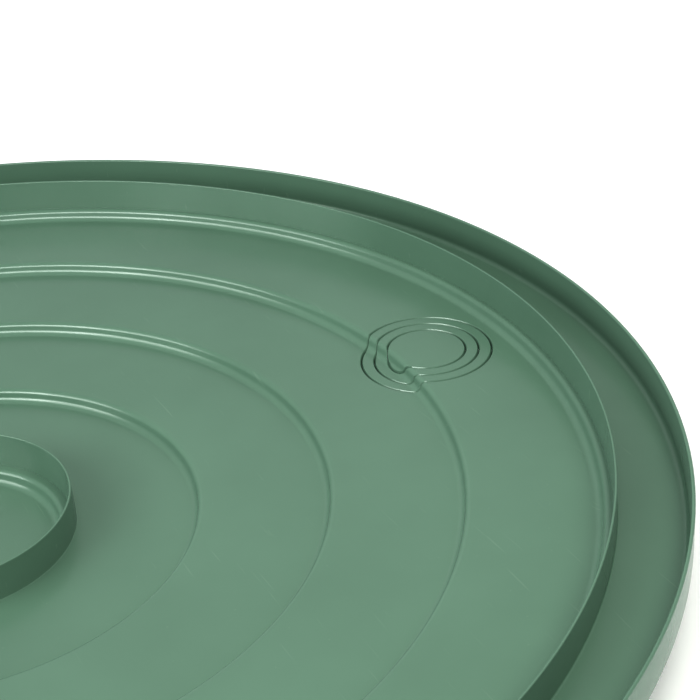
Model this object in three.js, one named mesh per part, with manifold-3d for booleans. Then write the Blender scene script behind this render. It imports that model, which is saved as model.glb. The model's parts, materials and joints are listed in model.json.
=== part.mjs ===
// Lid of a large open-head barrel, lying underside up on its crown.
// Millimetres, +Z up, origin on the lid's axis at the lowest point of the crown.
// The lid is one plastic moulding. It is built as one solid for each of its features (crown, terraces, seat
// ring, skirt, flange, collar), and as the three nested plugs that come out when a pipe hole is cut.
import * as THREE from "three";
import { mergeVertices } from "three/addons/utils/BufferGeometryUtils.js";
import Module from "manifold-3d";

const wasm = await Module();
wasm.setup();

// Driving dimensions
const OUTER_DIAMETER = 1010;
const RIM_HEIGHT = 76.2; // from the crown's rest face to the edge of the skirt
const WALL = 3;
const EDGE_WALL = 2; // thickness of an upright wall at its free edge
const FIT_GAP = 0.3; // between solids that meet
const AROUND = 72; // facets of a full turn

// Upright walls round the axis: radius of the wall's middle, height of its free edge, and width of the ledge
// of flat floor between its foot and the step inside it
const FLANGE = { radius: 456, top: RIM_HEIGHT, ledge: 0 };
const COLLAR = { radius: 92, top: 37.6, ledge: 3.4 };

// Terraces step up from the crown to the seat ring. The first and the last step are placed by an upright
const STEP_HEIGHT = 9.4;
const MIDDLE_STEP_RADII = [178, 269, 360];
const STEP_RUN = 10; // radial width of one S-shaped step

// Pipe knock-outs, nested round one centre on the step at radius 360
const KNOCKOUT_DIAMETERS = [60, 80, 100];
const KNOCKOUT_CENTRE_X = 386.2;
const KNOCKOUT_FACETS = 48;

// Derived dimensions
const OUTER_RADIUS = OUTER_DIAMETER / 2;
const SKIRT_RADIUS = OUTER_RADIUS - WALL / 2;
const COLLAR_FLOOR_Z = WALL + STEP_HEIGHT;
const SEAT_FLOOR_Z = COLLAR_FLOOR_Z + STEP_HEIGHT * (MIDDLE_STEP_RADII.length + 1);

const plasticColour = new THREE.Color(0x6a8e79);

function plastic(shade = 1) {
  return new THREE.MeshStandardMaterial({
    color: plasticColour.clone().multiplyScalar(shade),
    roughness: 0.45,
    metalness: 0,
  });
}

// Every step from the crown outwards, with the floor levels on its two sides.
function listSteps() {
  const besideFoot = ({ radius, ledge }) => radius - WALL / 2 - FIT_GAP - ledge - STEP_RUN / 2;
  const steps = [{ radius: besideFoot(COLLAR), low: WALL, high: COLLAR_FLOOR_Z }];
  for (const radius of [...MIDDLE_STEP_RADII, besideFoot(FLANGE)]) {
    const low = steps.at(-1).high;
    steps.push({ radius, low, high: low + STEP_HEIGHT });
  }
  return steps;
}

// A step is an S of two equal arcs. depth moves it into the wall, square to the surface.
function stepOutline({ radius, low, high }, depth) {
  const height = high - low;
  const sweep = 2 * Math.atan(height / STEP_RUN);
  const bend = STEP_RUN / (2 * Math.sin(sweep));
  const turns = [0, sweep / 2, sweep];
  const foot = turns.map((a) => {
    const r = bend + depth;
    return new THREE.Vector2(radius - STEP_RUN / 2 + r * Math.sin(a), low + bend - r * Math.cos(a));
  });
  const brow = turns.toReversed().map((a) => {
    const r = bend - depth;
    return new THREE.Vector2(radius + STEP_RUN / 2 - r * Math.sin(a), high - bend + r * Math.cos(a));
  });
  return [...foot, ...brow.slice(1)];
}

const point = (radius, z) => new THREE.Vector2(radius, z);

function lathe(points) {
  return new THREE.LatheGeometry(points, AROUND).rotateX(Math.PI / 2);
}

// Recess in a floor, as deep as the fit gap, that takes the foot of an upright.
function recess({ radius, ledge }, floorZ) {
  const reach = WALL / 2 + FIT_GAP;
  const lip = ledge > 0 ? [point(radius - reach, floorZ)] : [];
  return [
    ...lip,
    point(radius - reach, floorZ - FIT_GAP),
    point(radius + reach, floorZ - FIT_GAP),
    point(radius + reach, floorZ),
  ];
}

// Flat disc in the middle. It ends where the first step begins.
function crownOutline(firstStep) {
  const edge = firstStep.radius - STEP_RUN / 2 - FIT_GAP;
  return [point(0, 0), point(edge, 0), point(edge, WALL), point(0, WALL)];
}

// A step with the floor outside it, up to where the next step begins.
function terraceOutline(step, nextStep, upright) {
  const edge = nextStep.radius - STEP_RUN / 2 - FIT_GAP;
  const floor = upright ? recess(upright, step.high) : [];
  const over = [...stepOutline(step, 0), ...floor, point(edge, step.high)].reverse();
  const under = stepOutline(step, WALL);
  return [...under, point(edge, step.high - WALL), ...over, under[0]];
}

// The last step with the floor of the rim groove, out to the rounded lower edge of the skirt.
function seatOutline(step) {
  const corner = [0, Math.PI / 4, Math.PI / 2].map((a) =>
    point(OUTER_RADIUS - WALL + WALL * Math.sin(a), step.high - WALL * Math.cos(a)),
  );
  corner[2].y -= FIT_GAP;
  const over = [
    ...stepOutline(step, 0),
    ...recess(FLANGE, step.high),
    point(SKIRT_RADIUS - WALL / 2 - FIT_GAP, step.high),
    point(SKIRT_RADIUS - WALL / 2 - FIT_GAP, step.high - FIT_GAP),
  ].reverse();
  const under = stepOutline(step, WALL);
  return [...under, ...corner, ...over, under[0]];
}

// Outline of the whole disc, without the recesses: the plugs are cut from this.
function panelOutline(steps) {
  const last = steps.at(-1);
  const under = steps.flatMap((step) => stepOutline(step, WALL));
  const over = steps.flatMap((step) => stepOutline(step, 0)).reverse();
  const edge = last.radius + STEP_RUN;
  return [
    point(0, 0),
    ...under,
    point(edge, last.high - WALL),
    point(edge, last.high),
    ...over,
    point(0, WALL),
  ];
}

// Upright wall that tapers from WALL at its foot to EDGE_WALL at its free edge, with the edge's corners cut.
function uprightGeometry(radius, footZ, edgeZ) {
  const cut = EDGE_WALL / 4;
  const half = [
    point(WALL / 2, footZ),
    point(EDGE_WALL / 2, edgeZ - cut),
    point(EDGE_WALL / 2 - cut, edgeZ),
  ];
  const outer = half.map((p) => point(radius + p.x, p.y));
  const inner = half.map((p) => point(radius - p.x, p.y)).reverse();
  return lathe([...outer, ...inner, outer[0]]);
}

function toSolid(geometry) {
  const bare = geometry.clone();
  bare.deleteAttribute("normal");
  bare.deleteAttribute("uv");
  const merged = mergeVertices(bare, 1e-4);
  return new wasm.Manifold(
    new wasm.Mesh({
      numProp: 3,
      vertProperties: new Float32Array(merged.attributes.position.array),
      triVerts: new Uint32Array(merged.index.array),
    }),
  );
}

function toGeometry(solid) {
  const mesh = solid.getMesh();
  const geometry = new THREE.BufferGeometry();
  geometry.setAttribute("position", new THREE.BufferAttribute(mesh.vertProperties, 3));
  geometry.setIndex(new THREE.BufferAttribute(mesh.triVerts, 1));
  geometry.computeVertexNormals();
  return geometry;
}

// Upright cylinder round the knock-outs' centre, taller than the lid.
function knockoutCore(radius) {
  const height = RIM_HEIGHT * 2;
  const core = new THREE.CylinderGeometry(radius, radius, height, KNOCKOUT_FACETS).rotateX(Math.PI / 2);
  return toSolid(core.translate(KNOCKOUT_CENTRE_X, 0, RIM_HEIGHT / 2));
}

const lid = new THREE.Group();

function addPart(name, geometry, material) {
  const mesh = new THREE.Mesh(geometry, material);
  mesh.name = name;
  lid.add(mesh);
}

const steps = listSteps();
const [crownStep, innerStep, middleStep, outerStep, seatStep] = steps;
const panel = toSolid(lathe(panelOutline(steps)));
const pipeHole = knockoutCore(KNOCKOUT_DIAMETERS.at(-1) / 2 + FIT_GAP / 2);

addPart("crown_disc", lathe(crownOutline(crownStep)), plastic());
addPart("collar_terrace", lathe(terraceOutline(crownStep, innerStep, COLLAR)), plastic(0.95));
addPart("inner_terrace", lathe(terraceOutline(innerStep, middleStep)), plastic());
for (const [name, step, nextStep] of [
  ["middle_terrace", middleStep, outerStep],
  ["outer_terrace", outerStep, seatStep],
]) {
  const whole = toSolid(lathe(terraceOutline(step, nextStep)));
  addPart(name, toGeometry(whole.subtract(pipeHole)), plastic());
}
addPart("seat_ring", lathe(seatOutline(seatStep)), plastic(0.9));
addPart("outer_skirt", uprightGeometry(SKIRT_RADIUS, SEAT_FLOOR_Z, RIM_HEIGHT), plastic(0.8));
addPart("inner_flange", uprightGeometry(FLANGE.radius, SEAT_FLOOR_Z, FLANGE.top), plastic());
addPart("centre_collar", uprightGeometry(COLLAR.radius, COLLAR_FLOOR_Z, COLLAR.top), plastic(0.8));

// Each plug is what lies between its own cut and the next smaller one; the smallest is a plain disc.
KNOCKOUT_DIAMETERS.forEach((diameter, i) => {
  let plug = panel.intersect(knockoutCore(diameter / 2 - FIT_GAP / 2));
  if (i > 0) plug = plug.subtract(knockoutCore(KNOCKOUT_DIAMETERS[i - 1] / 2 + FIT_GAP / 2));
  addPart(`knockout_${diameter}`, toGeometry(plug), plastic(1 - 0.05 * i));
});

export default lid;
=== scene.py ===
"""Lid of an open-head barrel, lying underside up: one plastic moulding with three nested pipe knock-outs."""
import json
import math

import bmesh
import bpy
from mathutils import Matrix, Vector

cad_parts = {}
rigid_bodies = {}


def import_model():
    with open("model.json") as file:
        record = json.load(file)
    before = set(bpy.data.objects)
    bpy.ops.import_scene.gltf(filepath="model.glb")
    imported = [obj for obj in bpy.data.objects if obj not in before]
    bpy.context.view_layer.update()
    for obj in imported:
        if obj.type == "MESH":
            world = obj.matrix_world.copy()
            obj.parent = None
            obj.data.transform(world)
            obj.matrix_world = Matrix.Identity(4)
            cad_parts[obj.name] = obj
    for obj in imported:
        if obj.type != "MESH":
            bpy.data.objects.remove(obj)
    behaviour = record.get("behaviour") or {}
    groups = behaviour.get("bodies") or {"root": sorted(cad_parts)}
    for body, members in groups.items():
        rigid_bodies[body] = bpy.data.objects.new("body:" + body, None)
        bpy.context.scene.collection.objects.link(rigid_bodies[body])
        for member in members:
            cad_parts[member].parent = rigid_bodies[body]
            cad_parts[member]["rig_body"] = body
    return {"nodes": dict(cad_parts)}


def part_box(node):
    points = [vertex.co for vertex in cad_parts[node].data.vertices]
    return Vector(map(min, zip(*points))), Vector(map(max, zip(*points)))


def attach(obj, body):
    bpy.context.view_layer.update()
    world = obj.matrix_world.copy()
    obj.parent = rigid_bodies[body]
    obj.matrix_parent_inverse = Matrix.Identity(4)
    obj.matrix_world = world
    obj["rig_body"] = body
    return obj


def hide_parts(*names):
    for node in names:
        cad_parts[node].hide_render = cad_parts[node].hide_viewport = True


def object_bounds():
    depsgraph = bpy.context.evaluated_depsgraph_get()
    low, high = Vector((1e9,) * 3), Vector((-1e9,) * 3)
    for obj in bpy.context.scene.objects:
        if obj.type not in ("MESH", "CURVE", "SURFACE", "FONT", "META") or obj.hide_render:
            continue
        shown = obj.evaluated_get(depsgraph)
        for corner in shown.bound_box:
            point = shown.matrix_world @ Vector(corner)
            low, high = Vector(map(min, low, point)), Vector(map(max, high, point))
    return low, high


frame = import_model()
cad_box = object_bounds()

# Sizes in metres that the frame doesn't hold. RISER_OFFSET is from a step's start to its riser's middle
WALL = 0.003
EDGE_WALL = 0.0016
EDGE_BEND = 0.00075
RIM_EDGE_WALL = 0.0024
RIM_EDGE_BEND = 0.00115
RISER_SLOPE = math.radians(77)
RISER_OFFSET = 0.0045
FOOT_BEND = 0.0055
BROW_BEND = 0.0040
SEAT_FILLET = 0.0040
FLANGE_FILLET = 0.0012
COLLAR_FILLET = 0.0005
LOWER_EDGE_BEND = 0.0038
SCORE_WIDTH = 0.0021
SCORE_DEPTH = 0.0016
CUT_GAP = 0.0002
FIT_GAP = 0.0003
BLANK_MARGIN = 0.006  # how far the plugs' blank reaches past the widest plug

# Fineness of the meshes
LATHE_SIDES = 320
BLANK_SIDES = LATHE_SIDES // 16  # the stretch of the lathe that the plugs are cut from
PLUG_SIDES = 160
ARC_STEP = math.radians(9)
SCORE_SAMPLES = 7200
SCORE_SPACING = 0.0005
HARD_EDGE = math.radians(35)

# Plastic: the two ends of its tone, its scuffs and its surface
TONE_DEEP = (0.129, 0.210, 0.159, 1)
TONE_PALE = (0.139, 0.225, 0.171, 1)
SCUFF_COLOUR = (0.24, 0.33, 0.27, 1)
SCUFF_SHARE = 0.16
SCRATCH_STRETCH = (420, 22, 80)
SCRATCH_HEADING = math.radians(37)
SCRATCH_LEVELS = (0.73, 0.80)  # noise that is no scratch yet, and a full one
SPECK_RADII = (0.045, 0.03)  # distance at the rim of a speck and at its solid middle
SATIN = (0.21, 0.25)
GRAIN_STRENGTH = 0.25
GRAIN_HEIGHT = 0.00004
REFRACTION = 1.52

# Light and camera. The view's gamma deepens the shadows
SOFTBOX_DISTANCE = 2.6  # from the origin
WARM_WHITE = (1, 1, 0.93)
SKY = (0.985, 0.995, 1.025, 1)
SKY_STRENGTH = 0.73
VIEW_GAMMA = 0.65
CAMERA_XY = (-0.1630, -0.9783)
CAMERA_ABOVE_RIM = 0.5944
HEADING = math.radians(26.33)
PITCH = math.radians(29.25)
ROLL = math.radians(-3.29)
LENS = 86.35

LID_NODES = [n for n, o in frame["nodes"].items() if o["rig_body"] == "lid"]
FLOORS = ("crown_disc", "collar_terrace", "inner_terrace", "middle_terrace", "outer_terrace", "seat_ring")
SCORED_STEP = 3  # the step under the knock-outs, counted from 0 in the middle
PLUGS = {"knockout_60": "plug_60", "knockout_80": "plug_80", "knockout_100": "plug_100"}


# ---------------------------------------------------------------- sizes from the frame

def upright_sizes(node):
    """Middle radius, free edge and foot level of an upright wall."""
    low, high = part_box(node)
    return {"radius": high.x - WALL / 2, "top": high.z, "floor": low.z}


def step_sizes():
    """The steps from the middle outwards, with the floor levels on their two sides."""
    levels = [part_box(n)[1].z for n in FLOORS]
    starts = [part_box(n)[1].y + FIT_GAP for n in FLOORS[:-1]]
    return [{"radius": start + RISER_OFFSET, "low": low, "high": high}
            for start, low, high in zip(starts, levels, levels[1:])]


def cut_radius(node):
    """Radius of the cut round a knock-out."""
    low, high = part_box(node)
    return (high.y - low.y) / 2 + FIT_GAP / 2


# ---------------------------------------------------------------- outlines

def rounded(corners):
    """An outline through corners (radius, z, bend), with an arc of radius bend at each corner."""
    points = []
    last = len(corners) - 1
    for i, (x, z, bend) in enumerate(corners):
        here = Vector((x, z))
        if bend == 0 or i in (0, last):
            points.append(here)
            continue
        into = (here - Vector(corners[i - 1][:2])).normalized()
        out = (Vector(corners[i + 1][:2]) - here).normalized()
        turn = math.atan2(into.x * out.y - into.y * out.x, into.dot(out))
        side = math.copysign(1, turn)
        start = here - into * bend * math.tan(abs(turn) / 2)
        centre = start + Vector((-into.y, into.x)) * bend * side
        count = max(2, math.ceil(abs(turn) / ARC_STEP))
        for k in range(count + 1):
            points.append(centre + Matrix.Rotation(turn * k / count, 2) @ (start - centre))
    return points


def step_corners(step, depth=0.0):
    """The foot and the brow of a step. depth moves both into the wall, square to the surface."""
    lean = (step["high"] - step["low"]) / (2 * math.tan(RISER_SLOPE))
    shift = depth * math.tan(RISER_SLOPE / 2)
    foot = (step["radius"] - lean + shift, step["low"] - depth, FOOT_BEND + depth)
    brow = (step["radius"] + lean + shift, step["high"] - depth, max(BROW_BEND - depth, EDGE_BEND))
    return [foot, brow]


def upright_corners(upright, inner_fillet, outer_fillet, edge_wall=EDGE_WALL, edge_bend=EDGE_BEND):
    """Corners of an upright wall: its inner foot, the two of its free edge and its outer foot."""
    radius, top, floor = upright["radius"], upright["top"], upright["floor"]
    return [
        (radius - WALL / 2, floor, inner_fillet),
        (radius - edge_wall / 2, top, edge_bend),
        (radius + edge_wall / 2, top, edge_bend),
        (radius + WALL / 2, floor, outer_fillet),
    ]


def moulding_outline(steps):
    """Half section of the whole moulding, from the axis along the underside, round the rim and back."""
    skirt = upright_sizes("outer_skirt")
    under = [(0, 0, 0)]
    for step in steps:
        under += step_corners(step, WALL)
    under.append((skirt["radius"] + WALL / 2, skirt["floor"] - WALL, LOWER_EDGE_BEND))
    over = [(0, steps[0]["low"], 0)]
    over += step_corners(steps[0]) + upright_corners(upright_sizes("centre_collar"), 0, COLLAR_FILLET)
    for step in steps[1:]:
        over += step_corners(step)
    over += upright_corners(upright_sizes("inner_flange"), 0, FLANGE_FILLET)
    # The skirt's outer foot is left out: its outer face runs on down to the lower edge
    over += upright_corners(skirt, SEAT_FILLET, 0, RIM_EDGE_WALL, RIM_EDGE_BEND)[:3]
    return rounded(under + over[::-1])


def floor_line(step, inner, outer, depth):
    """The surface across one step from radius inner to radius outer, depth below the dish side."""
    ends = [(inner, step["low"] - depth, 0), (outer, step["high"] - depth, 0)]
    return rounded(ends[:1] + step_corners(step, depth) + ends[1:])


# ---------------------------------------------------------------- meshes

def make_object(name, bm):
    """An object of the scene with bm as its mesh. bm is used up."""
    bmesh.ops.recalc_face_normals(bm, faces=bm.faces)
    mesh = bpy.data.meshes.new(name)
    bm.to_mesh(mesh)
    bm.free()
    made = bpy.data.objects.new(name, mesh)
    bpy.context.scene.collection.objects.link(made)
    return made


def turn_outline(name, outline, first, count, closed):
    """Turns an outline round the Z axis, from side number first on.

    closed joins the last side to the first; otherwise both ends get a face.
    """
    bm = bmesh.new()
    poles = {i: bm.verts.new((0, 0, p.y)) for i, p in enumerate(outline) if p.x == 0}
    rings = []
    for side in range(first, first + count):
        angle = 2 * math.pi * side / LATHE_SIDES
        c, s = math.cos(angle), math.sin(angle)
        rings.append([poles.get(i) or bm.verts.new((p.x * c, p.x * s, p.y)) for i, p in enumerate(outline)])
    pairs = list(zip(rings, rings[1:]))
    if closed:
        pairs.append((rings[-1], rings[0]))
    corners_around = len(outline)
    edges = range(corners_around - 1) if poles else range(corners_around)
    for a, b in pairs:
        for i in edges:
            j = (i + 1) % corners_around
            corners = list(dict.fromkeys([a[i], a[j], b[j], b[i]]))
            bm.faces.new(corners)
    if not closed:
        bm.faces.new(rings[0])
        bm.faces.new(rings[-1])
    return make_object(name, bm)


def carve(target, cutter, operation):
    """Cuts target with cutter, or keeps what they share, and makes the result target's own mesh."""
    modifier = target.modifiers.new("carve", "BOOLEAN")
    modifier.operation = operation
    modifier.solver = "EXACT"
    modifier.object = cutter
    view = bpy.context.evaluated_depsgraph_get()
    mesh = bpy.data.meshes.new_from_object(target.evaluated_get(view))
    target.modifiers.remove(modifier)
    old = target.data
    target.data = mesh
    bpy.data.meshes.remove(old)


def discard(*objects):
    """Removes objects with their meshes."""
    for o in objects:
        bpy.data.meshes.remove(o.data)


def core(name, centre_x, radius):
    """Upright cylinder round the knock-outs' centre, reaching past both faces of the lid."""
    height = 4 * cad_box[1][2]
    bm = bmesh.new()
    bmesh.ops.create_cone(bm, cap_ends=True, segments=PLUG_SIDES, radius1=radius, radius2=radius,
                          depth=height, matrix=Matrix.Translation((centre_x, 0, 0)))
    return make_object(name, bm)


def height_and_normal(line, radius):
    """Height of the surface line at a radius, and the surface's normal there as (outwards, up)."""
    for a, b in zip(line, line[1:]):
        if a.x <= radius <= b.x and b.x > a.x:
            t = (radius - a.x) / (b.x - a.x)
            along = (b - a).normalized()
            return a.y + (b.y - a.y) * t, Vector((-along.y, along.x))
    raise ValueError("the score leaves the step's surface")


def score_path(line, centre_x, radius):
    """Points and normals along a circle that follows the stepped floor, at an even spacing."""
    fine = []
    for k in range(SCORE_SAMPLES):
        a = 2 * math.pi * k / SCORE_SAMPLES
        x, y = centre_x + radius * math.cos(a), radius * math.sin(a)
        r = math.hypot(x, y)
        z, normal = height_and_normal(line, r)
        fine.append((Vector((x, y, z)), Vector((normal.x * x / r, normal.x * y / r, normal.y))))
    path = [fine[0]]
    for sample in fine[1:]:
        if (sample[0] - path[-1][0]).length >= SCORE_SPACING:
            path.append(sample)
    return path


def score_cutter(name, line, centre_x, radius):
    """Ring with a V section that cuts a score SCORE_WIDTH wide and SCORE_DEPTH deep into the floor.

    It stands SCORE_DEPTH proud of the floor, where it is twice as wide.
    """
    path = score_path(line, centre_x, radius)
    bm = bmesh.new()
    rings = []
    for i, (place, normal) in enumerate(path):
        ahead = path[(i + 1) % len(path)][0] - path[i - 1][0]
        across = ahead.cross(normal).normalized()
        tip = place - normal * SCORE_DEPTH
        top = place + normal * SCORE_DEPTH
        ring = [tip, top + across * SCORE_WIDTH, top - across * SCORE_WIDTH]
        rings.append([bm.verts.new(p) for p in ring])
    for a, b in zip(rings, rings[1:] + rings[:1]):
        for i in range(3):
            j = (i + 1) % 3
            bm.faces.new([a[i], a[j], b[j], b[i]])
    return make_object(name, bm)


def soften(piece):
    """Smooth shading, with the edges sharper than HARD_EDGE left hard."""
    piece.data.shade_smooth()
    piece.data.set_sharp_from_angle(angle=HARD_EDGE)


# ---------------------------------------------------------------- pieces

def build_moulding(steps, centre_x, radius, score):
    """The whole lid in one piece, with a hole for the plugs and the outer half of the score round it."""
    moulding = turn_outline("lid_moulding", moulding_outline(steps), 0, LATHE_SIDES, closed=True)
    hole = core("hole", centre_x, radius + CUT_GAP / 2)
    carve(moulding, hole, "DIFFERENCE")
    carve(moulding, score, "DIFFERENCE")
    discard(hole)
    return moulding


def build_plug_blank(step, reach):
    """Stretch of the stepped floor that is large enough to cut the plugs from."""
    over = floor_line(step, *reach, 0)
    under = floor_line(step, *reach, WALL)
    return turn_outline("plug_blank", under + over[::-1], -(BLANK_SIDES // 2), BLANK_SIDES + 1, closed=False)


def build_plug(node, inside, blank, centre_x, cuts, scores):
    """The blank within the cut of node and outside that of inside, the next smaller knock-out if any."""
    plug = blank.copy()
    plug.data = blank.data.copy()
    plug.name = plug.data.name = node + "_plug"
    bpy.context.scene.collection.objects.link(plug)
    disc = core("disc", centre_x, cuts[node] - CUT_GAP / 2)
    carve(plug, disc, "INTERSECT")
    carve(plug, scores[node], "DIFFERENCE")
    discard(disc)
    if inside:
        middle = core("middle", centre_x, cuts[inside] + CUT_GAP / 2)
        carve(plug, middle, "DIFFERENCE")
        carve(plug, scores[inside], "DIFFERENCE")
        discard(middle)
    return plug


def build_lid():
    """The moulding with its hole, and the three plugs that fill it, scored apart."""
    steps = step_sizes()
    low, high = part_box("knockout_100")
    centre_x = (low.x + high.x) / 2
    cuts = {node: cut_radius(node) for node in PLUGS}
    widest = cuts["knockout_100"]
    reach = (centre_x - widest - BLANK_MARGIN, centre_x + widest + BLANK_MARGIN)
    line = floor_line(steps[SCORED_STEP], *reach, 0)
    scores = {n: score_cutter("score", line, centre_x, r) for n, r in cuts.items()}

    moulding = build_moulding(steps, centre_x, widest, scores["knockout_100"])
    blank = build_plug_blank(steps[SCORED_STEP], reach)
    plugs = {}
    inside = None
    for node in PLUGS:
        plugs[node] = build_plug(node, inside, blank, centre_x, cuts, scores)
        inside = node
    discard(blank, *scores.values())
    return moulding, plugs


# ---------------------------------------------------------------- materials

def add_node(tree, kind, **values):
    """A shader node of a kind, with its input sockets or its own settings filled in by name."""
    node = tree.nodes.new(kind)
    for key, value in values.items():
        if key in node.inputs:
            node.inputs[key].default_value = value
        else:
            setattr(node, key, value)
    return node


def add_pattern(tree, kind, place, output, **values):
    """One output of a texture or mapping node that is laid out by the place socket."""
    node = add_node(tree, kind, **values)
    tree.links.new(place, node.inputs["Vector"])
    return node.outputs[output]


def remap(tree, factor, from_range, to_range):
    """The factor socket's range from_range, stretched to to_range and held at its ends."""
    node = tree.nodes.new("ShaderNodeMapRange")
    node.inputs["From Min"].default_value, node.inputs["From Max"].default_value = from_range
    node.inputs["To Min"].default_value, node.inputs["To Max"].default_value = to_range
    tree.links.new(factor, node.inputs["Value"])
    return node.outputs["Result"]


def add_tone(tree, place):
    """Colour socket that drifts softly between the plastic's two tones."""
    drift = add_pattern(tree, "ShaderNodeTexNoise", place, "Fac", Scale=9.0, Detail=3.0, Roughness=0.55)
    ramp = tree.nodes.new("ShaderNodeValToRGB")
    low, high = ramp.color_ramp.elements
    low.position, low.color = 0.3, TONE_DEEP
    high.position, high.color = 0.7, TONE_PALE
    tree.links.new(drift, ramp.inputs["Fac"])
    return ramp.outputs["Color"]


def add_wear(tree, place):
    """Factor socket that is SCUFF_SHARE on fine scratches and small specks, and 0 elsewhere."""
    stretched = add_pattern(tree, "ShaderNodeMapping", place, "Vector",
                            Rotation=(0, 0, SCRATCH_HEADING), Scale=SCRATCH_STRETCH)
    hair = add_pattern(tree, "ShaderNodeTexNoise", stretched, "Fac", Scale=1.0, Detail=1.0, Distortion=0.4)
    dots = add_pattern(tree, "ShaderNodeTexVoronoi", place, "Distance", Scale=70.0, Randomness=1.0)
    either = add_node(tree, "ShaderNodeMath", operation="MAXIMUM")
    tree.links.new(remap(tree, hair, SCRATCH_LEVELS, (0, 1)), either.inputs[0])
    tree.links.new(remap(tree, dots, SPECK_RADII, (0, 1)), either.inputs[1])
    return remap(tree, either.outputs["Value"], (0, 1), (0, SCUFF_SHARE))


def plastic_material():
    """Dark sage green polypropylene, satin, with a fine mould grain and a few light scuffs."""
    material = bpy.data.materials.new("lid_plastic")
    material.use_nodes = True
    tree = material.node_tree
    link = tree.links.new
    shader = tree.nodes["Principled BSDF"]
    shader.inputs["IOR"].default_value = REFRACTION
    place = tree.nodes.new("ShaderNodeTexCoord").outputs["Object"]

    # A mix node's colours are its inputs 6 and 7 and its output 2: the names A, B and Result are shared
    scuffed = add_node(tree, "ShaderNodeMix", data_type="RGBA")
    link(add_wear(tree, place), scuffed.inputs["Factor"])
    link(add_tone(tree, place), scuffed.inputs[6])
    scuffed.inputs[7].default_value = SCUFF_COLOUR
    link(scuffed.outputs[2], shader.inputs["Base Color"])

    sheen = add_pattern(tree, "ShaderNodeTexNoise", place, "Fac", Scale=34.0, Detail=4.0, Roughness=0.6)
    link(remap(tree, sheen, (0.3, 0.7), SATIN), shader.inputs["Roughness"])

    grain = add_pattern(tree, "ShaderNodeTexNoise", place, "Fac", Scale=900.0, Detail=2.0)
    bump = add_node(tree, "ShaderNodeBump", Strength=GRAIN_STRENGTH, Distance=GRAIN_HEIGHT)
    link(grain, bump.inputs["Height"])
    link(bump.outputs["Normal"], shader.inputs["Normal"])
    return material


# ---------------------------------------------------------------- stage

def build_stage():
    """White studio floor under the lid."""
    bm = bmesh.new()
    bmesh.ops.create_grid(bm, x_segments=1, y_segments=1, size=30)
    floor = make_object("studio_floor", bm)
    white = bpy.data.materials.new("studio_white")
    white.use_nodes = True
    shader = white.node_tree.nodes["Principled BSDF"]
    shader.inputs["Base Color"].default_value = (0.85, 0.85, 0.85, 1)
    shader.inputs["Roughness"].default_value = 0.9
    shader.inputs["Specular IOR Level"].default_value = 0
    floor.data.materials.append(white)


def add_softbox(name, azimuth, elevation, width, height, power,
                shows="all", colour=(1, 1, 1), distance=SOFTBOX_DISTANCE):
    """Softbox aimed at the lid. azimuth is counted from +X towards +Y, in degrees.

    shows limits what it lights: "matt" is the matt share of the surfaces only, "gloss" their gloss only.
    """
    a, e = math.radians(azimuth), math.radians(elevation)
    away = Vector((math.cos(e) * math.cos(a), math.cos(e) * math.sin(a), math.sin(e)))
    light = bpy.data.lights.new(name, "AREA")
    light.shape = "RECTANGLE"
    light.size = width
    light.size_y = height
    light.energy = power
    light.color = colour
    lamp = bpy.data.objects.new(name, light)
    turn = away.to_track_quat("Z", "Y").to_matrix().to_4x4()
    lamp.matrix_world = Matrix.Translation(away * distance) @ turn
    lamp.visible_diffuse = shows != "gloss"
    lamp.visible_glossy = shows != "matt"
    bpy.context.scene.collection.objects.link(lamp)


def build_lights():
    """A pale sky, softboxes at the left for the steps' highlights, and matt light from front and back."""
    world = bpy.data.worlds.new("studio")
    world.use_nodes = True
    background = world.node_tree.nodes["Background"]
    background.inputs["Color"].default_value = SKY
    background.inputs["Strength"].default_value = SKY_STRENGTH
    bpy.context.scene.world = world
    # Name, azimuth, elevation, width, height, power, and what it shows on
    add_softbox("left_high", 182, 36, 1.9, 1.1, 31)
    add_softbox("left_near", 218, 34, 1.9, 1.1, 70, "gloss")
    add_softbox("left_mid", 182, 20, 1.9, 0.7, 30)
    add_softbox("left_near_mid", 218, 20, 1.9, 0.7, 10)
    add_softbox("front", 285, 58, 1.2, 1.2, 29, "matt", WARM_WHITE, distance=1.9)
    add_softbox("back", 62, 20, 2.0, 0.9, 20, "matt")


def add_camera():
    """Camera 0.99 m from the lid's axis and 0.59 m above its rim, on a long lens."""
    position = Vector((*CAMERA_XY, cad_box[1][2] + CAMERA_ABOVE_RIM))
    flat = math.cos(PITCH)
    ahead = Vector((math.sin(HEADING) * flat, math.cos(HEADING) * flat, -math.sin(PITCH)))
    level = Vector((math.cos(HEADING), -math.sin(HEADING), 0))
    upward = level.cross(ahead)
    right = math.cos(ROLL) * level + math.sin(ROLL) * upward
    up = right.cross(ahead)
    camera = bpy.data.cameras.new("camera")
    camera.sensor_width = 36
    camera.lens = LENS
    eye = bpy.data.objects.new("camera", camera)
    turn = Matrix((right, up, -ahead)).transposed().to_4x4()
    eye.matrix_world = Matrix.Translation(position) @ turn
    bpy.context.scene.collection.objects.link(eye)
    bpy.context.scene.camera = eye


# ---------------------------------------------------------------- assembly

add_camera()
moulding, plugs = build_lid()
plastic = plastic_material()
for piece in [moulding, *plugs.values()]:
    piece.data.materials.clear()
    piece.data.materials.append(plastic)
    soften(piece)
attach(moulding, "lid")
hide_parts(*LID_NODES)
for node, plug in plugs.items():
    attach(plug, PLUGS[node])
    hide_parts(node)
build_stage()
build_lights()
bpy.context.scene.view_settings.view_transform = "Standard"
bpy.context.scene.view_settings.gamma = VIEW_GAMMA
